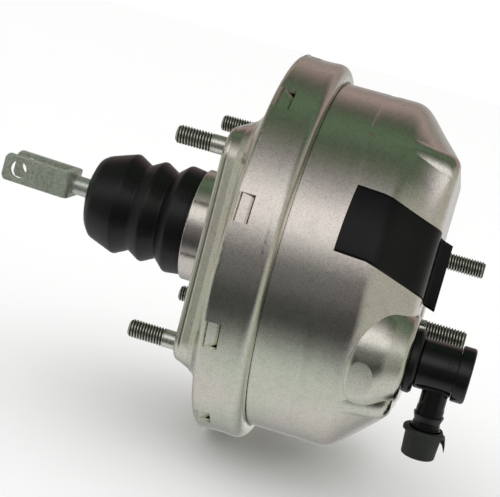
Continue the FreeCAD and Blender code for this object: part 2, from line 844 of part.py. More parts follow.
def poppet_retainer():
    outer = tube_bore_r - seat_gap
    sleeve_r = outer - 0.8 - poppet_wall - seat_gap
    flange_front = bead_rear_x - seat_gap
    swing = math.tan(math.radians(rod_swing)) * (ball_x - retainer_rear_x)
    hole_r = rod_r + swing + soft_gap
    return turned([(retainer_rear_x, hole_r), (retainer_rear_x, outer),
                   (flange_front, outer), (flange_front, sleeve_r),
                   (flange_front + retainer_sleeve, sleeve_r),
                   (flange_front + retainer_sleeve, sleeve_r - retainer_sheet),
                   (flange_front, sleeve_r - retainer_sheet),
                   (flange_front, hole_r)])


def poppet_spring():
    start = bead_rear_x - seat_gap + poppet_wire_r + seat_gap
    end = poppet_rear_x - poppet_wire_r - seat_gap
    return coil(start, end, poppet_spring_r, poppet_spring_r, poppet_spring_turns, poppet_wire_r)


def input_return_spring():
    start = rod_collar_x + rod_collar_thickness + input_wire_r + soft_gap
    end = retainer_rear_x - input_wire_r - seat_gap
    return coil(start, end, input_spring_r, input_spring_r, input_spring_turns, input_wire_r)


def felt(x_start, x_end):
    outer = tube_bore_r - seat_gap
    return turned([(x_start, filter_bore_r), (x_end, filter_bore_r), (x_end, outer, 0.5),
                   (x_start, outer, 0.5)])


def air_filter():
    return felt(tube_rear_x + seat_gap, tube_rear_x + filter_length)


def silencer():
    start = tube_rear_x + filter_length + seat_gap
    return felt(start, start + silencer_length)


# Seal, bushing and retainer in the rear collar

bushing_rear_x = rear_inner_x - seat_gap - bushing_length


def rear_seal():
    outer = neck_r - sheet - seat_gap
    front = bushing_rear_x - seat_gap
    rear = front - seal_length
    lip = tube_r + soft_gap
    return turned([(rear, outer - 3.0), (rear, outer, 0.5), (front, outer, 0.5),
                   (front, lip + 1.6, 0.5), (front - seal_lip_length, lip),
                   (front - seal_lip_length - 1.5, lip), (rear + 3.0, outer - 4.0)])


def guide_bushing():
    outer = neck_r - sheet - seat_gap
    front = rear_inner_x - seat_gap
    return turned([(bushing_rear_x, tube_r + running), (front, tube_r + running),
                   (front, outer, 0.3), (bushing_rear_x, outer, 0.3)])


def seal_retainer():
    return ring(rear_inner_x, retainer_front_x, tube_r + soft_gap, retainer_r)


def front_seal():
    start = pocket_floor_x
    end = start + front_seal_length
    outer = pocket_r - seat_gap
    lip = output_r + soft_gap
    return turned([(start, cup_hole_r - 2.0, 0.4), (start, outer, 0.4), (end, outer, 0.4),
                   (end, lip + 3.0), (end - 0.6, lip), (end - 2.0, lip)])


# Boot

def boot_outline(depth):
    lobes = []
    for index in range(2):
        x = boot_first_lobe_x + index * boot_lobe_pitch
        lobes.append((x, boot_lobe_r - depth, 2.0))
        lobes.append((x + boot_lobe_pitch / 2, boot_valley_r - depth, 1.6))
    collar_x = boot_first_lobe_x + 2 * boot_lobe_pitch
    return lobes + [(collar_x - 0.7, boot_collar_r - depth, 1.2)]


def boot_form(depth):
    """Solid of the boot's surface, moved in by depth, with its raised rear end."""
    rise = (ball_x - boot_rear_x) * math.tan(math.radians(rod_tilt))
    end_r = neck_r - sheet - seat_gap - depth
    seat_x = -neck_length - 1.4
    points = [(boot_shoulder_x, 0), (boot_shoulder_x, boot_shoulder_r - depth)]
    points += boot_outline(depth)
    points += [(seat_x, end_r), (boot_end_x, end_r), (boot_end_x, 0)]
    bellows = turned(points)
    run = boot_rear_x - boot_shoulder_x
    rings = []
    for share, radius in ((0.0, boot_shoulder_r), (0.41, boot_shoulder_r * 0.86),
                          (0.72, boot_shoulder_r * 0.62), (1.0, boot_rear_r)):
        centre = Vector(boot_shoulder_x + share * run + depth * share, 0, rise * share)
        rings.append(Part.Wire(Part.makeCircle(radius - depth * (1 - share * 0.8), centre, axis_x)))
    return fused([bellows, Part.makeLoft(rings, True, False)])


def boot():
    body = boot_form(0.0).cut(boot_form(boot_wall))
    opening = rod_along_x(boot_rear_x - 2 * boot_wall, boot_shoulder_x + boot_wall, rod_r + soft_gap)
    mouth = rod_along_x(boot_end_x - 1, boot_end_x + 1, neck_r - sheet - seat_gap - boot_wall)
    return body.cut(tilted(opening)).cut(mouth)


# Vacuum connection

pad_x = front_face_x + boss_rise
head_x = pad_x + grommet_flange + seat_gap
head_end_x = head_x + valve_head_length
chamber_r = valve_head_r - valve_wall
seat_x = head_x + valve_wall


def on_boss(shape):
    shape.translate(Vector(0, boss_y, boss_z))
    return shape


def valve_grommet():
    rear = pad_x - sheet - grommet_inner_flange
    bore = valve_neck_r + running
    groove = grommet_hole_r - seat_gap
    return on_boss(turned([
        (rear, bore), (rear, grommet_hole_r + 0.4, 0.5),
        (pad_x - sheet - seat_gap, grommet_flange_r - 0.4, 0.4),
        (pad_x - sheet - seat_gap, groove), (pad_x + seat_gap, groove),
        (pad_x + seat_gap, grommet_flange_r, 0.8), (pad_x + grommet_flange, grommet_flange_r, 0.8),
        (pad_x + grommet_flange, bore)]))


def check_valve_body():
    """Elbow with a grooved neck, a chamber for the disc and a barbed nozzle."""
    tail = pad_x - sheet - grommet_inner_flange - 3.0
    barb_x = tail + 2.6
    shell = on_boss(turned([
        (tail, 0), (tail, valve_neck_r - 0.8), (barb_x, valve_neck_r + valve_barb),
        (barb_x, valve_neck_r), (head_x, valve_neck_r), (head_x, valve_head_r, 0.8),
        (head_end_x, valve_head_r), (head_end_x, 0)]))
    nozzle_profile = [(nozzle_tip_z, 0), (nozzle_tip_z, nozzle_r - 0.8), (nozzle_tip_z + 1.5, nozzle_r)]
    for index in (1, 0):
        top = nozzle_first_barb_z - index * nozzle_barb_pitch
        nozzle_profile += [(top - nozzle_barb_length, nozzle_r), (top - 0.4, nozzle_r + nozzle_barb),
                           (top, nozzle_r + nozzle_barb), (top, nozzle_r)]
    nozzle_profile += [(boss_z, nozzle_r), (boss_z, 0)]
    nozzle = turned(nozzle_profile)
    nozzle.rotate(origin, axis_y, -90)
    nozzle.translate(Vector(nozzle_x, boss_y, 0))
    chamber = on_boss(rod_along_x(seat_x, head_end_x + 1, chamber_r))
    passage = on_boss(rod_along_x(tail - 1, seat_x - 2, valve_neck_r - valve_neck_wall))
    throat = on_boss(rod_along_x(seat_x - 3, seat_x + 1, check_seat_r))
    duct = Part.makeCylinder(nozzle_bore_r, boss_z - nozzle_tip_z + 1,
                             Vector(nozzle_x, boss_y, nozzle_tip_z - 1), axis_z)
    return fused([shell, nozzle]).cut(chamber).cut(passage).cut(throat).cut(duct)


def check_valve_end():
    plug_x = head_end_x - valve_end_plug
    plug_r = chamber_r - running
    return on_boss(turned([
        (plug_x, 0), (plug_x, plug_r), (head_end_x + seat_gap, plug_r),
        (head_end_x + seat_gap, valve_end_r, 0.8), (head_end_x + valve_end_thickness, valve_end_r, 1.4),
        (head_end_x + valve_end_thickness, 0)]))


def check_disc():
    start = seat_x + seat_gap
    return on_boss(turned([(start, 0), (start, check_disc_r, 0.3),
                           (start + check_disc_thickness, check_disc_r, 0.3),
                           (start + check_disc_thickness, 0)]))


def check_spring():
    start = seat_x + check_disc_thickness + 2 * seat_gap + check_wire_r
    end = head_end_x - valve_end_plug - seat_gap - check_wire_r
    return on_boss(coil(start, end, check_spring_r, check_spring_r, check_spring_turns, check_wire_r))


def nozzle_cap():
    """Soft cap pushed over the end of the nozzle."""
    bore = nozzle_r + nozzle_barb + soft_gap
    cap = turned([
        (cap_bottom_z, 0), (cap_bottom_z, cap_end_r, cap_rounding), (cap_rim_z - cap_rim_height, cap_r),
        (cap_rim_z - cap_rim_height, cap_rim_r, 0.7), (cap_rim_z, cap_rim_r, 0.7),
        (cap_rim_z, bore), (nozzle_tip_z - soft_gap, bore), (nozzle_tip_z - soft_gap, 0)])
    cap.rotate(origin, axis_y, -90)
    cap.translate(Vector(nozzle_x, boss_y, 0))
    return cap


nodes = {
    "rear_shell": rear_shell,
    "rear_reinforcement_plate": rear_reinforcement_plate,
    "rear_studs": rear_studs,
    "front_shell": front_shell,
    "front_reinforcement_plate": front_reinforcement_plate,
    "front_studs": front_studs,
    "valve_body": valve_body,
    "diaphragm_plate": diaphragm_plate,
    "diaphragm": diaphragm,
    "reaction_disc": reaction_disc,
    "output_pushrod": output_pushrod,
    "adjuster_screw": adjuster_screw,
    "return_spring": return_spring,
    "valve_plunger": valve_plunger,
    "stop_key": stop_key,
    "input_pushrod": input_pushrod,
    "clevis": clevis,
    "poppet_valve": poppet_valve,
    "poppet_retainer": poppet_retainer,
    "poppet_spring": poppet_spring,
    "input_return_spring": input_return_spring,
    "air_filter": air_filter,
    "silencer": silencer,
    "rear_seal": rear_seal,
    "guide_bushing": guide_bushing,
    "seal_retainer": seal_retainer,
    "front_seal": front_seal,
    "boot": boot,
    "valve_grommet": valve_grommet,
    "check_valve_body": check_valve_body,
    "check_valve_end": check_valve_end,
    "check_disc": check_disc,
    "check_spring": check_spring,
    "nozzle_cap": nozzle_cap,
}

os.makedirs("parts", exist_ok=True)
for name, make in nodes.items():
    shape = make()
    shape.exportStep(os.path.join("parts", name + ".step"))
    print(name, "solids", len(shape.Solids), "valid", shape.isValid(),
          "volume", round(shape.Volume / 1000, 2), "cm3")
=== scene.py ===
import json
import math

import bmesh
import bpy
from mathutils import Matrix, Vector
from mathutils.bvhtree import BVHTree


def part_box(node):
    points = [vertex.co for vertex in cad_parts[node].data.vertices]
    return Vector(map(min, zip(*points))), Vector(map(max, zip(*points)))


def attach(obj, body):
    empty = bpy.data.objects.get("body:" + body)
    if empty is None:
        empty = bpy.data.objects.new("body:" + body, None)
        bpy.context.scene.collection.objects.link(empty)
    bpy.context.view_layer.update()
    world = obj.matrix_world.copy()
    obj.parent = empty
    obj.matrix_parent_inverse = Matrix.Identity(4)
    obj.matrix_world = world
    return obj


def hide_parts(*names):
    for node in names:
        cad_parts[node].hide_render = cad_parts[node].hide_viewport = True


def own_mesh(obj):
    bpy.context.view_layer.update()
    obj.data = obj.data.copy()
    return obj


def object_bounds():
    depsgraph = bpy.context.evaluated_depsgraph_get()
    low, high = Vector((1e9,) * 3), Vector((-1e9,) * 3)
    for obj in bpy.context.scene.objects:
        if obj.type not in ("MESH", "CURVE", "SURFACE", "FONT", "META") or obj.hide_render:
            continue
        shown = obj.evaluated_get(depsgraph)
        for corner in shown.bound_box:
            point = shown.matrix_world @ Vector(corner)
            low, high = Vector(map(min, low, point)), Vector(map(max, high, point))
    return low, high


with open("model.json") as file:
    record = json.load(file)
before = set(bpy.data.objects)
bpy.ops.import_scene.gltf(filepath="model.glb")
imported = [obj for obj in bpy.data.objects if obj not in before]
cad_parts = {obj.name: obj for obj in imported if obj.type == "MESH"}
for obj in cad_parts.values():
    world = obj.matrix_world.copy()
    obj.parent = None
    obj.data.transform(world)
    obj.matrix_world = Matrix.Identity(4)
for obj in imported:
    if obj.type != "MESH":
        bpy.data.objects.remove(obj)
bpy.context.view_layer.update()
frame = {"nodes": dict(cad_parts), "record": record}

MM = 0.001
X_AXIS = Vector((1, 0, 0))
GROOVE_SHADE = "groove_shade"            # mesh attribute of painted shade, 1 at the root of a thread

# Camera, fitted to the photograph's outline

CAMERA_AZIMUTH = math.radians(8.93)
CAMERA_ELEVATION = math.radians(10.69)
CAMERA_ROLL = math.radians(14.56)
CAMERA_DISTANCE = 632.7 * MM
CAMERA_TARGET = Vector((13.7, 0, -3.9)) * MM
IMAGE_WIDTH = 500
FOCAL_PIXELS = 1407
SENSOR = 36                  # width in millimetres
CLIP_START = 0.01


def make_camera():
    """Camera that looks at the target from the fitted side, rolled as the photograph is."""
    az, el, roll = CAMERA_AZIMUTH, CAMERA_ELEVATION, CAMERA_ROLL
    look = Vector((-math.sin(az) * math.cos(el), math.cos(az) * math.cos(el), -math.sin(el)))
    right = Vector((math.cos(az), math.sin(az), 0))
    up = right.cross(look)
    right_rolled = right * math.cos(roll) + up * math.sin(roll)
    up_rolled = up * math.cos(roll) - right * math.sin(roll)
    data = bpy.data.cameras.new("camera")
    data.sensor_width = SENSOR
    data.lens = FOCAL_PIXELS * SENSOR / IMAGE_WIDTH
    data.clip_start = CLIP_START
    camera = bpy.data.objects.new("camera", data)
    bpy.context.scene.collection.objects.link(camera)
    matrix = camera.matrix_world.copy()
    place = CAMERA_TARGET - look * CAMERA_DISTANCE
    for row in range(3):
        matrix[row][0] = right_rolled[row]
        matrix[row][1] = up_rolled[row]
        matrix[row][2] = -look[row]
        matrix[row][3] = place[row]
    camera.matrix_world = matrix
    bpy.context.scene.camera = camera
    bpy.context.scene.view_settings.view_transform = "Standard"


# Node helpers

BUMP_DISTANCE = 0.0001


class Nodes:
    """A short way to build a node tree."""

    def __init__(self, tree):
        self.tree = tree
        tree.nodes.clear()

    def add(self, kind, inputs=None, **settings):
        node = self.tree.nodes.new(kind)
        for name, value in settings.items():
            setattr(node, name, value)
        for name, value in (inputs or {}).items():
            socket = node.inputs[name]
            if isinstance(value, bpy.types.NodeSocket):
                self.tree.links.new(value, socket)
            else:
                socket.default_value = value
        return node

    def math(self, operation, first, second=0.0):
        return self.add("ShaderNodeMath", {0: first, 1: second}, operation=operation).outputs[0]

    def ramp(self, factor, stops, interpolation="LINEAR"):
        node = self.add("ShaderNodeValToRGB", {"Fac": factor})
        node.color_ramp.interpolation = interpolation
        elements = node.color_ramp.elements
        while len(elements) > 1:
            elements.remove(elements[-1])
        elements[0].position, elements[0].color = stops[0][0], colour(stops[0][1])
        for place, value in stops[1:]:
            elements.new(place).color = colour(value)
        return node.outputs["Color"]

    def mix(self, factor, first, second, blend="MIX"):
        node = self.add("ShaderNodeMix", data_type="RGBA", blend_type=blend)
        pairs = (("Factor_Float", factor), ("A_Color", first), ("B_Color", second))
        for identifier, value in pairs:
            socket = next(s for s in node.inputs if s.identifier == identifier)
            if isinstance(value, bpy.types.NodeSocket):
                self.tree.links.new(value, socket)
            elif identifier == "Factor_Float":
                socket.default_value = value
            else:
                socket.default_value = colour(value)
        return next(s for s in node.outputs if s.identifier == "Result_Color")

    def noise(self, vector, scale, detail=2.0, roughness=0.5):
        return self.add("ShaderNodeTexNoise", {"Vector": vector, "Scale": scale, "Detail": detail,
                                               "Roughness": roughness}).outputs["Fac"]

    def stretched(self, vector, scale):
        return self.add("ShaderNodeMapping", {"Vector": vector, "Scale": scale}).outputs["Vector"]


def colour(value):
    if isinstance(value, (int, float)):
        return (value, value, value, 1.0)
    return (*value[:3], 1.0)


def material(name):
    """A new material with its nodes, its shader and the coordinates on the object."""
    mat = bpy.data.materials.new(name)
    mat.use_nodes = True
    nodes = Nodes(mat.node_tree)
    shader = nodes.add("ShaderNodeBsdfPrincipled")
    output = nodes.add("ShaderNodeOutputMaterial")
    mat.node_tree.links.new(shader.outputs["BSDF"], output.inputs["Surface"])
    where = nodes.add("ShaderNodeTexCoord").outputs["Object"]
    return mat, nodes, shader, where


def link(nodes, output, socket):
    nodes.tree.links.new(output, socket)


def bump(nodes, shader, height, strength):
    node = nodes.add("ShaderNodeBump", {"Height": height, "Strength": strength, "Distance": BUMP_DISTANCE})
    link(nodes, node.outputs["Normal"], shader.inputs["Normal"])


# Materials

def zinc(name):
    """Zinc plating: warm silver with a green and pink film, rolled grain and turned scratches."""
    mat, nodes, shader, where = material(name)
    shader.inputs["Metallic"].default_value = 1.0
    film = nodes.noise(where, 16.0, 3.0)
    grain = nodes.noise(where, 2300.0, 3.0, 0.75)
    ripple = nodes.noise(where, 420.0, 2.0, 0.5)
    blotch = nodes.noise(where, 330.0, 5.0, 0.7)
    turned = nodes.noise(nodes.stretched(where, (1900.0, 12.0, 12.0)), 1.0, 4.0, 0.65)
    base = nodes.ramp(film, [(0.34, (0.76, 0.80, 0.67)), (0.50, (0.84, 0.81, 0.72)),
                             (0.66, (0.84, 0.76, 0.71))])
    speck = nodes.ramp(grain, [(0.34, 0.55), (0.50, 0.94), (0.66, 1.0)])
    base = nodes.mix(0.8, base, speck, "MULTIPLY")
    mottle = nodes.ramp(blotch, [(0.36, 0.82), (0.50, 1.0)])
    base = nodes.mix(0.5, base, mottle, "MULTIPLY")
    link(nodes, base, shader.inputs["Base Color"])
    rough = nodes.ramp(nodes.mix(0.5, grain, turned), [(0.35, 0.13), (0.68, 0.27)])
    link(nodes, rough, shader.inputs["Roughness"])
    height = nodes.mix(0.35, nodes.mix(0.55, ripple, grain), turned)
    bump(nodes, shader, height, 0.42)
    return mat


def metal(name, base, rough, grain=1200.0, strength=0.15, metallic=1.0, speckle=0.2):
    """Bare or plated metal: grain is the scale of its fine specks, strength their depth."""
    mat, nodes, shader, where = material(name)
    shader.inputs["Metallic"].default_value = metallic
    fine = nodes.noise(where, grain, 3.0, 0.6)
    broad = nodes.noise(where, 90.0, 2.0)
    low = tuple(c * 0.72 for c in base)
    speck = nodes.ramp(fine, [(0.36, 1.0 - speckle), (0.60, 1.0)])
    tint = nodes.mix(1.0, nodes.mix(broad, low, base), speck, "MULTIPLY")
    link(nodes, tint, shader.inputs["Base Color"])
    link(nodes, nodes.ramp(fine, [(0.3, rough * 0.8), (0.7, rough * 1.25)]), shader.inputs["Roughness"])
    bump(nodes, shader, fine, strength)
    return mat


def threaded(name, base, dark, rough):
    """Bright metal with painted shade in its thread grooves, marked on the mesh, which are also duller."""
    mat, nodes, shader, where = material(name)
    shader.inputs["Metallic"].default_value = 0.9
    groove_shade = nodes.add("ShaderNodeAttribute", attribute_name=GROOVE_SHADE).outputs["Fac"]
    fine = nodes.noise(where, 1600.0, 3.0, 0.6)
    worn = nodes.mix(nodes.ramp(fine, [(0.35, 0.0), (0.7, 0.4)]), base, dark)
    # painted shade: the base colour turns to the dark tone in the thread grooves
    link(nodes, nodes.mix(groove_shade, worn, dark), shader.inputs["Base Color"])
    link(nodes, nodes.ramp(groove_shade, [(0.0, rough), (1.0, 0.6)]), shader.inputs["Roughness"])
    bump(nodes, shader, fine, 0.1)
    return mat


def dielectric(name, base, rough, grain=900.0, strength=0.2, gloss=0.5):
    """Rubber, plastic or felt with a broad change of tone and a fine grain."""
    mat, nodes, shader, where = material(name)
    fine = nodes.noise(where, grain, 3.0, 0.6)
    broad = nodes.noise(where, 60.0, 3.0)
    low = tuple(c * 0.6 for c in base)
    high = tuple(min(1.0, c * 1.5 + 0.004) for c in base)
    link(nodes, nodes.mix(broad, low, high), shader.inputs["Base Color"])
    link(nodes, nodes.ramp(fine, [(0.3, rough * 0.85), (0.7, rough * 1.2)]), shader.inputs["Roughness"])
    shader.inputs["Specular IOR Level"].default_value = gloss
    bump(nodes, shader, fine, strength)
    return mat


def make_materials():
    return {
        "zinc": zinc("zinc"),
        "steel": metal("steel", (0.50, 0.50, 0.50), 0.35),
        # the stud's dark tone is both the painted shade of its thread grooves and its random wear
        "stud": threaded("stud", (0.86, 0.85, 0.78), (0.07, 0.08, 0.05), 0.16),
        "spring": metal("spring", (0.30, 0.30, 0.31), 0.35),
        "rod": metal("rod", (0.74, 0.78, 0.70), 0.22, metallic=0.75),
        "clevis": metal("clevis", (0.50, 0.55, 0.45), 0.36, 850.0, 0.5, metallic=0.55, speckle=0.3),
        "gloss_black": dielectric("gloss_black", (0.003, 0.003, 0.003), 0.10, 500.0, 0.05, 0.4),
        "phenolic": dielectric("phenolic", (0.02, 0.018, 0.016), 0.45),
        "rubber": dielectric("rubber", (0.003, 0.003, 0.0032), 0.30, 1500.0, 0.2, 0.35),
        "grey_rubber": dielectric("grey_rubber", (0.016, 0.019, 0.015), 0.45, 1500.0, 0.3, 0.3),
        "felt": dielectric("felt", (0.6, 0.58, 0.52), 0.95, 2500.0, 0.8),
        "foam": dielectric("foam", (0.04, 0.04, 0.04), 0.95, 2000.0, 0.9),
        "aluminium": metal("aluminium", (0.78, 0.78, 0.78), 0.3),
        "sticker": dielectric("sticker", (0.002, 0.002, 0.002), 0.12, 300.0, 0.04, 0.2),
    }


SLOT_MATERIAL = {
    "zinc_plate": "zinc", "steel": "steel", "stud_zinc": "stud", "spring_steel": "spring",
    "black_plastic": "gloss_black", "phenolic": "phenolic", "black_rubber": "rubber",
    "grey_rubber": "grey_rubber", "rod_zinc": "rod", "clevis_zinc": "clevis", "felt": "felt",
    "foam": "foam", "aluminium": "aluminium",
}


def dress_nodes(materials):
    for entry in frame["record"]["subparts"]:
        node = frame["nodes"][entry["node"]]
        mat = materials[SLOT_MATERIAL[entry["material_slot"]]]
        for slot in node.material_slots:
            slot.material = mat
        if not node.material_slots:
            node.data.materials.append(mat)


# Pieces

CORNER_SHARE = 0.49          # most of an edge that one rounded corner takes
ARC_STEP = 9                 # degrees of arc for each short edge of a rounded corner
POLE_R = 1e-6                # below this radius a turned outline closes in one point


def new_piece(name, mesh, mat, body, node=None):
    """A mesh that rides on a body, and may stand for a node of the record."""
    piece = bpy.data.objects.new(name, mesh)
    bpy.context.scene.collection.objects.link(piece)
    mesh.materials.clear()
    mesh.materials.append(mat)
    for polygon in mesh.polygons:
        polygon.use_smooth = True
    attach(piece, body)
    if node:
        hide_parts(node)
    return piece


def rounded(points):
    """Corner list (x, r, rounding) in millimetres to a smooth list of points."""
    result = []
    last = len(points) - 1
    for index, point in enumerate(points):
        x, r = point[0], point[1]
        rounding = point[2] if len(point) > 2 else 0.0
        if rounding == 0.0 or index in (0, last):
            result.append((x, r))
            continue
        here = Vector((x, r))
        into = Vector(points[index - 1][:2]) - here
        out = Vector(points[index + 1][:2]) - here
        half = into.angle(out) / 2
        tangent = min(rounding / math.tan(half), into.length * CORNER_SHARE, out.length * CORNER_SHARE)
        radius = tangent * math.tan(half)
        into.normalize()
        out.normalize()
        centre = here + (into + out).normalized() * (radius / math.sin(half))
        start = here + into * tangent - centre
        turn = start.angle_signed(here + out * tangent - centre)
        steps = max(3, int(abs(math.degrees(turn)) / ARC_STEP))
        for step in range(steps + 1):
            angle = -turn * step / steps
            spoke = Vector((start.x * math.cos(angle) - start.y * math.sin(angle),
                            start.x * math.sin(angle) + start.y * math.cos(angle)))
            result.append(tuple(centre + spoke))
    return result


def lathe(name, profile, segments=96, shape=None):
    """Mesh turned about X from a list of (x, r) in millimetres; shape may move each point."""
    mesh = bpy.data.meshes.new(name)
    work = bmesh.new()
    rings = []
    for x, r in profile:
        if r < POLE_R:
            point = Vector((x, 0, 0))
            if shape:
                point = shape(point, x, 0.0)
            rings.append([work.verts.new(point * MM)] * segments)
            continue
        ring = []
        for k in range(segments):
            angle = 2 * math.pi * k / segments
            point = Vector((x, r * math.cos(angle), r * math.sin(angle)))
            if shape:
                point = shape(point, x, angle)
            ring.append(work.verts.new(point * MM))
        rings.append(ring)
    for first, second in zip(rings, rings[1:]):
        for k in range(segments):
            following = (k + 1) % segments
            corners = [first[k], first[following], second[following], second[k]]
            corners = list(dict.fromkeys(corners))
            if len(corners) > 2:
                work.faces.new(corners)
    bmesh.ops.recalc_face_normals(work, faces=work.faces)
    work.to_mesh(mesh)
    work.free()
    return mesh


def sharpen(piece, degrees=35.0):
    """Marks edges sharper than the angle, so that flats stay flat in smooth shading."""
    work = bmesh.new()
    work.from_mesh(piece.data)
    for edge in work.edges:
        if len(edge.link_faces) == 2 and edge.calc_face_angle(0.0) > math.radians(degrees):
            edge.smooth = False
    work.to_mesh(piece.data)
    work.free()
    return piece


# Studs with rolled threads

STUD_R = 4.0
THREAD_ROOT_R = 3.2
THREAD_PITCH = 1.25
THREAD_STEPS = 12
THREAD_CREST = 1.12          # above 1, so that the root keeps a flat
THREAD_FLANK = 2.8           # how steeply the groove's sides rise
STUD_SEGMENTS = 48
STUD_PLAIN_R = 3.92          # shank between the face and the thread
STUD_CHAMFER = 1.0
STUD_INSIDE = 2.0            # length behind the face, in the shell's hole
STEP_EDGE = 0.01
GROOVE_SHADE_FADE = 0.7            # below 1, so that the painted shade of a groove reaches up its sides
STUD_SHARP = 50


def stud_mesh(name, plain, tip, places):
    """Studs along X: plain shank from 0 to plain, rolled thread on to tip (signed, in mm)."""
    way = 1 if tip > 0 else -1
    length = abs(tip)
    smooth = abs(plain)
    stations = [-STUD_INSIDE, 0.0, smooth - STEP_EDGE]
    step = THREAD_PITCH / THREAD_STEPS
    count = int((length - smooth) / step)
    stations += [smooth + step * k for k in range(count)] + [length]
    work = bmesh.new()
    groove_shade = work.verts.layers.float.new(GROOVE_SHADE)
    for place in places:
        rings = []
        for along in stations:
            ring = []
            for k in range(STUD_SEGMENTS):
                angle = 2 * math.pi * k / STUD_SEGMENTS
                radius, depth = STUD_PLAIN_R, 0.0
                if along > smooth:
                    phase = ((along - smooth) / THREAD_PITCH - way * angle / (2 * math.pi)) % 1.0
                    depth = min(1.0, max(0.0, THREAD_CREST - abs(phase - 0.5) * THREAD_FLANK))
                    depth *= min(1.0, (along - smooth) / THREAD_PITCH)
                    radius = STUD_R - (STUD_R - THREAD_ROOT_R) * depth
                    radius = min(radius, STUD_R - STUD_CHAMFER + (length - along))
                vert = work.verts.new(Vector((place[0] + way * along,
                                              place[1] + radius * math.cos(angle),
                                              place[2] + radius * math.sin(angle))) * MM)
                # painted shade, strongest at the thread's root
                vert[groove_shade] = depth ** GROOVE_SHADE_FADE
                ring.append(vert)
            rings.append(ring)
        for first, second in zip(rings, rings[1:]):
            for k in range(STUD_SEGMENTS):
                following = (k + 1) % STUD_SEGMENTS
                work.faces.new([first[k], first[following], second[following], second[k]])
        work.faces.new(rings[0])
        work.faces.new(rings[-1])
    bmesh.ops.recalc_face_normals(work, faces=work.faces)
    mesh = bpy.data.meshes.new(name)
    work.to_mesh(mesh)
    work.free()
    return mesh


REAR_STUD_Y = 44.0
REAR_STUD_Z = 43.0
REAR_STUD_TIP = -21.2
REAR_STUD_PLAIN = -5.0
FRONT_STUD_PLAIN = 3.2
FRONT_STUD_PITCH = 60.2
FRONT_STUD_ANGLE = math.radians(21.4)
FRONT_FACE_X = 95.4
FRONT_STUD_TIP = 21.2


def make_studs(materials):
    rear = [(0.0, y, z) for y in (-REAR_STUD_Y, REAR_STUD_Y) for z in (-REAR_STUD_Z, REAR_STUD_Z)]
    half = FRONT_STUD_PITCH / 2
    across, up = half * math.cos(FRONT_STUD_ANGLE), half * math.sin(FRONT_STUD_ANGLE)
    front = [(FRONT_FACE_X, across, up), (FRONT_FACE_X, -across, -up)]
    for name, plain, tip, places, node in (
            ("rear_stud_threads", REAR_STUD_PLAIN, REAR_STUD_TIP, rear, "rear_studs"),
            ("front_stud_threads", FRONT_STUD_PLAIN, FRONT_STUD_TIP, front, "front_studs")):
        mesh = stud_mesh(name, plain, tip, places)
        sharpen(new_piece(name, mesh, materials["stud"], "housing", node), STUD_SHARP)


# Moulded pieces of the vacuum connection

BOSS_Y = -50.5
BOSS_Z = -19.8
NOZZLE_X = 110.6
NOZZLE_R = 5.5


def on_boss(point, x, angle):
    return point + Vector((0, BOSS_Y, BOSS_Z))


def on_nozzle(point, x, angle):
    """Stands a turned form up along the nozzle, its x as height."""
    return Vector((NOZZLE_X + point.z, BOSS_Y + point.y, point.x))


def closed(profile):
    return profile + [profile[0]]


PAD_X = 97.0
PAD_BACK_X = 95.3
GROMMET_BORE_R = 8.1
GROMMET_NECK_R = 11.2
GROMMET_GAP = 0.1


def make_grommet(materials):
    """Rubber grommet: inner lip, neck through the pad's hole and outer flange."""
    low, high = (corner[0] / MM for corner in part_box("valve_grommet"))
    seat = PAD_X + GROMMET_GAP
    profile = rounded([(low, GROMMET_BORE_R), (low, 11.6, 0.8), (PAD_BACK_X, 13.0, 0.8),
                       (PAD_BACK_X, GROMMET_NECK_R, 0.3), (seat, GROMMET_NECK_R, 0.2),
                       (seat, 13.4, 0.6), (high - 1.2, 13.5, 0.9), (high, 12.4, 0.7),
                       (high, 9.4, 0.4), (high - 0.5, GROMMET_BORE_R)])
    mesh = lathe("grommet_moulding", closed(profile), shape=on_boss)
    new_piece("grommet_moulding", mesh, materials["rubber"], "housing", "valve_grommet")


CAP_RIM_Z = -45.6
CAP_RIM_R = 8.9
CAP_BOTTOM_Z = -58.0
CAP_R = 7.6
CAP_SEGMENTS = 160
CAP_BORE_R = 6.65
CAP_FLOOR_Z = -54.4
CAP_TAB_Z = -46.7
CAP_TAB_HALF_HEIGHT = 1.6
CAP_TAB_ANGLE = math.radians(78)
CAP_TAB_SHARPNESS = 40
CAP_TAB_REACH = 1.3
CAP_TAB_ROOT = 0.45          # the tab grows from this far inside the body's outer radius


def make_cap(materials):
    """Rubber cap: beaded rim with a small pull tab, tapering body and dished base."""

    def tabbed(point, x, angle):
        rise = max(0.0, 1.0 - abs(x - CAP_TAB_Z) / CAP_TAB_HALF_HEIGHT)
        near = max(0.0, math.cos(angle - CAP_TAB_ANGLE)) ** CAP_TAB_SHARPNESS
        reach = math.hypot(point.y, point.z)
        if reach > CAP_R - CAP_TAB_ROOT:
            point = point * (1 + CAP_TAB_REACH * near * min(1.0, 2 * rise) / reach)
        return on_nozzle(point, x, angle)

    profile = rounded([
        (CAP_BOTTOM_Z + 0.5, 0), (CAP_BOTTOM_Z + 0.5, 4.4, 0.4), (CAP_BOTTOM_Z, 5.2, 0.5),
        (CAP_BOTTOM_Z, 7.0, 1.4), (CAP_RIM_Z - 2.6, CAP_R, 0.4), (CAP_RIM_Z - 2.0, CAP_RIM_R, 0.6),
        (CAP_RIM_Z - 0.2, CAP_RIM_R, 0.8), (CAP_RIM_Z, 7.3, 0.3), (CAP_RIM_Z - 0.3, CAP_BORE_R, 0.2),
        (CAP_FLOOR_Z, CAP_BORE_R, 0.3), (CAP_FLOOR_Z, 0)])
    mesh = lathe("cap_moulding", profile, CAP_SEGMENTS, tabbed)
    new_piece("cap_moulding", mesh, materials["grey_rubber"], "cap", "nozzle_cap")


RIB_PLACES_Z = (-36.9, -37.8, -38.7, -43.5, -44.1)
RIB_RISE = 0.22
RIB_CREST = 0.22             # half its width at the crest
RIB_FOOT = 0.28              # half its width at the nozzle
RIB_SUNK = 0.05
RIB_ROUNDING = 0.1
RIB_SEGMENTS = 64


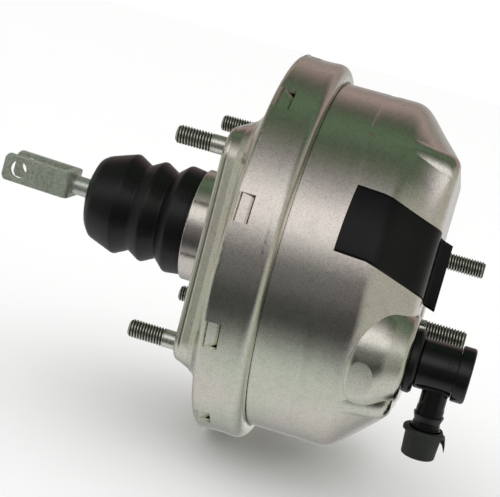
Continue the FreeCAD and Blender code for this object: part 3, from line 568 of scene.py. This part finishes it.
def make_nozzle_ribs(materials):
    """Fine moulded rings between and above the barbs of the nozzle."""
    foot_r, crest_r = NOZZLE_R - RIB_SUNK, NOZZLE_R + RIB_RISE
    for index, z in enumerate(RIB_PLACES_Z):
        ring = closed(rounded([(z - RIB_FOOT, foot_r), (z - RIB_CREST, crest_r, RIB_ROUNDING),
                               (z + RIB_CREST, crest_r, RIB_ROUNDING), (z + RIB_FOOT, foot_r)]))
        name = "nozzle_rib_%d" % (index + 1)
        mesh = lathe(name, ring, RIB_SEGMENTS, on_nozzle)
        new_piece(name, mesh, materials["gloss_black"], "vacuum_elbow")


HEAD_R = 10.5
MOULD_RING_X = 113.6
MOULD_RING_LEAN = math.radians(24)
MOULD_RING_SEGMENTS = 40


def make_mould_ring(materials):
    """Small raised ring left by the mould on the near side of the elbow's head."""
    centre = Vector((MOULD_RING_X, BOSS_Y, BOSS_Z))
    outward = Vector((0, -math.cos(MOULD_RING_LEAN), math.sin(MOULD_RING_LEAN)))
    side = Vector((0, math.sin(MOULD_RING_LEAN), math.cos(MOULD_RING_LEAN)))

    def place(point, x, angle):
        flat = X_AXIS * point.y + side * point.z
        height = math.sqrt(HEAD_R ** 2 - flat.dot(side) ** 2)
        return centre + flat + outward * (height + point.x)

    profile = closed(rounded([(-0.05, 0.75), (0.16, 0.85, 0.08), (0.16, 1.15, 0.08), (-0.05, 1.25)]))
    mesh = lathe("elbow_mould_ring", profile, MOULD_RING_SEGMENTS, place)
    new_piece("elbow_mould_ring", mesh, materials["gloss_black"], "vacuum_elbow")


def make_front_seal(materials):
    """Lip seal at the bottom of the pilot bore."""
    low, high = (corner[0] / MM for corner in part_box("front_seal"))
    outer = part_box("front_seal")[1][2] / MM
    profile = closed(rounded([(low, 7.2, 0.4), (low, outer, 0.5), (high, outer, 0.5), (high, 12.6, 0.4),
                              (high - 1.4, 10.6, 0.8), (high - 0.2, 8.4, 0.5), (high - 0.5, 4.9, 0.1),
                              (high - 1.6, 4.8, 0.2), (high - 2.0, 5.2, 0.4)]))
    mesh = lathe("front_seal_lips", profile)
    new_piece("front_seal_lips", mesh, materials["rubber"], "housing", "front_seal")


# Clevis folded from plate

ROD_TILT = math.radians(1.8)
BALL_X = -6.0
CLEVIS_REAR_X = -104.7
CLEVIS_FRONT_X = -72.4
CLEVIS_HALF = 9.2
CLEVIS_GAP_HALF = 6.2
CLEVIS_HALF_HEIGHT = 6.25
CLEVIS_WEB = 4.2
CLEVIS_BEND = 2.8
CLEVIS_CORNER = 2.0
CLEVIS_PIN_X = -97.5
CLEVIS_PIN_R = 4.0
CLEVIS_EDGE = 0.45
CLEVIS_EDGE_STEPS = 3
CLEVIS_EDGE_ANGLE = math.radians(50)
CLEVIS_SHARP = 60
CLEVIS_CORNER_RUN = 0.7      # how far a corner is cut along the ear, as a share of its depth
PIN_SEGMENTS = 64
BEND_STEPS = 6
PAST = 1.0                   # how far a cutting shape reaches past what it cuts


def prism(name, outline, low, high, place):
    """Closed outline of (a, b) points drawn out from low to high."""
    work = bmesh.new()
    rings = [[work.verts.new(place(a, b, level) * MM) for a, b in outline] for level in (low, high)]
    for k in range(len(outline)):
        following = (k + 1) % len(outline)
        work.faces.new([rings[0][k], rings[0][following], rings[1][following], rings[1][k]])
    work.faces.new(rings[0])
    work.faces.new(rings[1])
    bmesh.ops.recalc_face_normals(work, faces=work.faces)
    mesh = bpy.data.meshes.new(name)
    work.to_mesh(mesh)
    work.free()
    return mesh


def carved(name, mesh, steps):
    """The mesh after cutting or trimming by other meshes; steps holds (operation, mesh)."""
    scene = bpy.context.scene.collection
    block = bpy.data.objects.new(name, mesh)
    scene.objects.link(block)
    tools = []
    for operation, tool_mesh in steps:
        tool = bpy.data.objects.new(name + "_tool", tool_mesh)
        scene.objects.link(tool)
        tools.append(tool)
        step = block.modifiers.new(operation.lower(), "BOOLEAN")
        step.operation = operation
        step.solver = "EXACT"
        step.object = tool
    bpy.context.view_layer.update()
    graph = bpy.context.evaluated_depsgraph_get()
    result = bpy.data.meshes.new_from_object(block.evaluated_get(graph))
    for thing in [block] + tools:
        bpy.data.objects.remove(thing)
    return result


def quarter(x, y, radius, start):
    """Points of a rounded corner about (x, y), from the start angle on by 90 degrees."""
    angles = [math.radians(start + 90 * k / BEND_STEPS) for k in range(BEND_STEPS + 1)]
    return [(x + radius * math.cos(angle), y + radius * math.sin(angle)) for angle in angles]


def make_clevis(materials):
    """Two ears with cut corners and a pin hole, joined by a web with round bends."""
    bend_x = CLEVIS_FRONT_X - CLEVIS_BEND
    bend_y = CLEVIS_HALF - CLEVIS_BEND
    web_x = CLEVIS_FRONT_X - CLEVIS_WEB
    plan = [(CLEVIS_REAR_X, -CLEVIS_HALF)] + quarter(bend_x, -bend_y, CLEVIS_BEND, 270)
    plan += quarter(bend_x, bend_y, CLEVIS_BEND, 0)
    plan += [(CLEVIS_REAR_X, CLEVIS_HALF), (CLEVIS_REAR_X, CLEVIS_GAP_HALF), (web_x, CLEVIS_GAP_HALF),
             (web_x, -CLEVIS_GAP_HALF), (CLEVIS_REAR_X, -CLEVIS_GAP_HALF)]
    high, corner = CLEVIS_HALF_HEIGHT, CLEVIS_CORNER
    cut_x = CLEVIS_REAR_X + corner * CLEVIS_CORNER_RUN
    side = [(CLEVIS_REAR_X, corner - high), (cut_x, -high), (CLEVIS_FRONT_X + PAST, -high),
            (CLEVIS_FRONT_X + PAST, high), (cut_x, high), (CLEVIS_REAR_X, high - corner)]
    turns = [2 * math.pi * k / PIN_SEGMENTS for k in range(PIN_SEGMENTS)]
    pin = [(CLEVIS_PIN_X + CLEVIS_PIN_R * math.cos(turn), CLEVIS_PIN_R * math.sin(turn)) for turn in turns]

    def upright(a, b, level):
        return Vector((a, b, level))

    def across(a, b, level):
        return Vector((a, level, b))

    wide = CLEVIS_HALF + PAST
    mesh = carved("clevis_block", prism("clevis_plan", plan, -high - PAST, high + PAST, upright),
                  [("INTERSECT", prism("clevis_side", side, -wide, wide, across)),
                   ("DIFFERENCE", prism("clevis_pin", pin, -wide, wide, across))])
    for vertex in mesh.vertices:
        along, up = vertex.co.x - BALL_X * MM, vertex.co.z
        vertex.co.x = BALL_X * MM + along * math.cos(ROD_TILT) + up * math.sin(ROD_TILT)
        vertex.co.z = up * math.cos(ROD_TILT) - along * math.sin(ROD_TILT)
    piece = new_piece("clevis_folded", mesh, materials["clevis"], "input_rod", "clevis")
    edge = piece.modifiers.new("edges", "BEVEL")
    edge.width = CLEVIS_EDGE * MM
    edge.segments = CLEVIS_EDGE_STEPS
    edge.limit_method = "ANGLE"
    edge.angle_limit = CLEVIS_EDGE_ANGLE
    sharpen(piece, CLEVIS_SHARP)


# Boot

BOOT_END_X = -11.6
BOOT_REAR_X = -64.4
BOOT_RISE = 1.84
BOOT_SHOULDER_X = -58.6
BOOT_WALL = 1.6
BOOT_MOUTH_R = 4.8
BOOT_END_R = 23.8
BOOT_SEGMENTS = 128


def make_boot(materials):
    """Bellows from the rod's mouth over two folds to the collar on the shell's neck."""
    mouth_x = BOOT_REAR_X + BOOT_WALL
    outer = [(mouth_x, BOOT_MOUTH_R), (BOOT_REAR_X, BOOT_MOUTH_R), (BOOT_REAR_X, 6.4, 0.5),
             (-62.9, 11.9, 4.0), (-61.3, 16.4, 4.0), (BOOT_SHOULDER_X, 19.2, 5.0), (-46.3, 23.5, 2.2),
             (-39.7, 19.9, 0.9), (-33.2, 23.6, 2.0), (-26.7, 20.0, 0.9), (-21.2, 25.0, 2.4),
             (-14.4, 24.1, 0.8), (-13.9, BOOT_END_R), (BOOT_END_X, BOOT_END_R),
             (BOOT_END_X, BOOT_END_R - BOOT_WALL)]
    inner = [(-20.6, 23.2, 2.0), (-26.6, 18.6, 1.4), (-33.2, 21.6, 2.0), (-39.6, 18.5, 1.4),
             (-46.3, 21.6, 2.0), (-57.8, 17.6, 4.0), (mouth_x + 1.0, 12.0, 3.0),
             (mouth_x, BOOT_MOUTH_R)]
    profile = rounded(outer + inner)

    def raised(point, x, angle):
        share = max(0.0, (BOOT_SHOULDER_X - x) / (BOOT_SHOULDER_X - BOOT_REAR_X))
        return point + Vector((0, 0, BOOT_RISE * min(1.0, share)))

    mesh = lathe("boot_bellows", profile, BOOT_SEGMENTS, raised)
    piece = new_piece("boot_bellows", mesh, materials["rubber"], "housing", "boot")
    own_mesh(piece)


# Springs

def make_springs(materials):
    """Springs that shorten towards their fixed end, as the record says, in their solid's shape."""
    slots = {entry["node"]: entry["material_slot"] for entry in frame["record"]["subparts"]}
    holders = {node: body for body, nodes in frame["record"]["behaviour"]["bodies"].items()
               for node in nodes}
    for joint in frame["record"]["behaviour"]["joints"]:
        for entry in joint.get("deforming_nodes", []):
            node = entry["node"]
            if not node.endswith("_spring"):
                continue
            piece = new_piece(node + "_coils", frame["nodes"][node].data.copy(),
                              materials[SLOT_MATERIAL[slots[node]]], holders[node], node)
            sharpen(piece)
            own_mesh(piece)


# Bare sticker wrapped from the drum over a facet to the front face

FACET_TURN = math.radians(10.7)
STICKER_LIFT = 0.06
STICKER_THICKNESS = 0.12
STICKER_STATIONS = (          # x, distance from the axis, top and bottom along the facet
    (57.6, 78.5, 32.4, 4.6),
    (71.0, 78.5, 31.8, 3.9),
    (75.0, 76.0, 31.2, 2.8),
    (92.0, 59.0, 25.6, -2.8),
    (95.4, 54.0, 24.6, -3.9),
    (95.4, 45.0, 22.6, -5.6),
)
FLAP_BEND_R = 3.0
FLAP_RISE = 3.2
FLAP_LEAN = math.radians(12)
FLAP_BEND_STEPS = 10
FLAP_END_STEPS = 7
FLAP_DRIFT = -0.24           # how far the curled end runs down for each millimetre of its length
STICKER_ACROSS = 24
STICKER_STEP = 0.5
CORE_X = 66.0                # the sticker is laid by rays towards this line inside the shell
CORE_DISTANCE = 40.0
RAY_REACH = 60.0


def shell_tree():
    """The front shell's surface, to cast rays at."""
    shell = frame["nodes"]["front_shell"]
    return BVHTree.FromPolygons([v.co.copy() for v in shell.data.vertices],
                                [tuple(p.vertices) for p in shell.data.polygons])


def make_sticker(materials):
    """Follows the shell's surface, then lifts off the face in a curled end."""
    outward = Vector((0, -math.cos(FACET_TURN), math.sin(FACET_TURN)))
    along = Vector((0, math.sin(FACET_TURN), math.cos(FACET_TURN)))
    tree = shell_tree()
    rows = []
    for first, second in zip(STICKER_STATIONS, STICKER_STATIONS[1:]):
        length = math.hypot(second[0] - first[0], second[1] - first[1])
        steps = max(2, int(length / STICKER_STEP))
        for step in range(steps):
            share = step / steps
            rows.append([a + (b - a) * share for a, b in zip(first, second)])
    rows.append(list(STICKER_STATIONS[-1]))
    grid = []
    for x, distance, top, bottom in rows:
        line = []
        for k in range(STICKER_ACROSS + 1):
            height = bottom + (top - bottom) * k / STICKER_ACROSS
            core = Vector((CORE_X, 0, 0)) + outward * CORE_DISTANCE + along * height
            target = Vector((x, 0, 0)) + outward * distance + along * height
            way = (target - core).normalized()
            start = core + way * RAY_REACH
            spot, normal = tree.ray_cast(start * MM, -way)[:2]
            line.append(spot / MM + normal * STICKER_LIFT)
        grid.append(line)
    last = grid[-1]
    for step in range(1, FLAP_BEND_STEPS + FLAP_END_STEPS + 1):
        if step <= FLAP_BEND_STEPS:
            angle = (math.pi / 2 - FLAP_LEAN) * step / FLAP_BEND_STEPS
            inward = FLAP_BEND_R * math.sin(angle)
            rise = FLAP_BEND_R * (1 - math.cos(angle))
        else:
            more = FLAP_RISE * (step - FLAP_BEND_STEPS) / FLAP_END_STEPS
            inward = FLAP_BEND_R * math.cos(FLAP_LEAN) + more * math.sin(FLAP_LEAN)
            rise = FLAP_BEND_R * (1 - math.sin(FLAP_LEAN)) + more * math.cos(FLAP_LEAN)
        sag = FLAP_DRIFT * (inward + rise)
        grid.append([p + X_AXIS * rise - outward * inward + along * sag for p in last])
    mesh = bpy.data.meshes.new("shell_sticker")
    work = bmesh.new()
    verts = [[work.verts.new(p * MM) for p in line] for line in grid]
    for first, second in zip(verts, verts[1:]):
        for k in range(len(first) - 1):
            work.faces.new([first[k], first[k + 1], second[k + 1], second[k]])
    bmesh.ops.recalc_face_normals(work, faces=work.faces)
    work.to_mesh(mesh)
    work.free()
    piece = new_piece("shell_sticker", mesh, materials["sticker"], "housing")
    solid = piece.modifiers.new("thickness", "SOLIDIFY")
    solid.thickness = STICKER_THICKNESS * MM
    solid.offset = 1.0


# Floor and light

FLOOR_HALF = 4.0
FLOOR_GAP = 0.0005
FLOOR_COLOUR = (0.96, 0.96, 0.96, 1)
FLOOR_ROUGHNESS = 0.8
WHITE_STRENGTH = 1.2         # what the camera and dull surfaces see
STUDIO = (                   # degrees up from the camera's side, and the tone mirrored there
    (-180, 0.55), (-165, 0.80), (-145, 0.32), (-125, 0.50), (-100, 0.68), (-70, 0.66), (-56, 0.50),
    (-44, 0.20), (-34, 0.06), (-20, 0.07), (-8, 0.15), (3, 0.16), (12, 0.40), (24, 0.92), (38, 0.98),
    (50, 0.60), (62, 0.30), (74, (0.15, 0.17, 0.13)), (86, (0.08, 0.11, 0.07)),
    (100, (0.12, 0.18, 0.12)), (112, (0.11, 0.16, 0.10)), (122, (0.09, 0.10, 0.08)),
    (134, (0.24, 0.19, 0.18)), (146, (0.42, 0.33, 0.32)), (160, (0.30, 0.26, 0.24)), (180, 0.55),
)
STUDIO_ENDS = (0.46, 0.48, 0.42)


def make_floor():
    mesh = bpy.data.meshes.new("floor")
    size = FLOOR_HALF
    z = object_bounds()[0][2] - FLOOR_GAP
    mesh.from_pydata([(-size, -size, z), (size, -size, z), (size, size, z), (-size, size, z)], [],
                     [(0, 1, 2, 3)])
    floor = bpy.data.objects.new("floor", mesh)
    bpy.context.scene.collection.objects.link(floor)
    mat, _, shader, _ = material("floor")
    shader.inputs["Base Color"].default_value = FLOOR_COLOUR
    shader.inputs["Roughness"].default_value = FLOOR_ROUGHNESS
    mesh.materials.append(mat)
    floor.visible_glossy = False


def make_world():
    """White surround; shiny pieces mirror a studio, bright high in front and below, dark between."""
    world = bpy.data.worlds.new("studio")
    bpy.context.scene.world = world
    world.use_nodes = True
    nodes = Nodes(world.node_tree)
    direction = nodes.add("ShaderNodeTexCoord").outputs["Generated"]
    split = nodes.add("ShaderNodeSeparateXYZ", {"Vector": direction})
    ahead = nodes.math("MULTIPLY", split.outputs["Y"], -1.0)
    angle = nodes.math("ARCTAN2", split.outputs["Z"], ahead)
    share = nodes.math("ADD", nodes.math("MULTIPLY", angle, 1 / (2 * math.pi)), 0.5)
    studio = nodes.ramp(share, [((degrees + 180) / 360, tone) for degrees, tone in STUDIO])
    ends = nodes.ramp(nodes.math("ABSOLUTE", split.outputs["X"]), [(0.72, 0.0), (0.96, 1.0)])
    studio = nodes.mix(ends, studio, STUDIO_ENDS)
    background = nodes.add("ShaderNodeBackground", {"Color": studio, "Strength": 1.0})
    white = nodes.add("ShaderNodeBackground", {"Color": (1, 1, 1, 1), "Strength": WHITE_STRENGTH})
    rays = nodes.add("ShaderNodeLightPath")
    plain = nodes.math("MAXIMUM", rays.outputs["Is Camera Ray"], rays.outputs["Is Diffuse Ray"])
    mixed = nodes.add("ShaderNodeMixShader", {0: plain})
    link(nodes, background.outputs[0], mixed.inputs[1])
    link(nodes, white.outputs[0], mixed.inputs[2])
    output = nodes.add("ShaderNodeOutputWorld")
    link(nodes, mixed.outputs[0], output.inputs["Surface"])


make_camera()
materials = make_materials()
dress_nodes(materials)
make_studs(materials)
make_grommet(materials)
make_cap(materials)
make_nozzle_ribs(materials)
make_mould_ring(materials)
make_front_seal(materials)
make_clevis(materials)
make_boot(materials)
make_springs(materials)
make_sticker(materials)
make_floor()
make_world()
